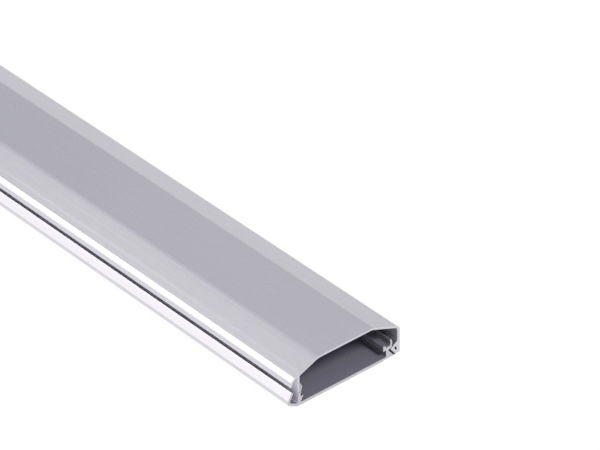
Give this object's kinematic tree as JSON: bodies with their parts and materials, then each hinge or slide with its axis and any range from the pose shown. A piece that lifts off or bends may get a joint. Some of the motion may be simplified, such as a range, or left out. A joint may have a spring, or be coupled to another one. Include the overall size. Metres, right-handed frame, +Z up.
{
  "type": "cable cover",
  "caption": "Low aluminium cable cover with sloping sides: an extruded clip-on cover over a flat extruded base, open at both ends for cables.",
  "frame": {"origin": "middle of the underside, half way along the length and across the overall width", "axes": "+Y along the length, +Z up from the wall or floor that the base lies on, -X towards the curled edge that the cover is opened by"},
  "size_m": [0.0614, 0.75, 0.02],
  "materials": {
    "base_aluminium": "satin silver anodised, with fine drawing lines along the length and plain sawn ends",
    "cover_aluminium": "satin silver anodised, with fine drawing lines along the length and plain sawn ends"
  },
  "bodies": {
    "root": {"base": "base_aluminium", "cover": "cover_aluminium"}
  },
  "joints": []
}
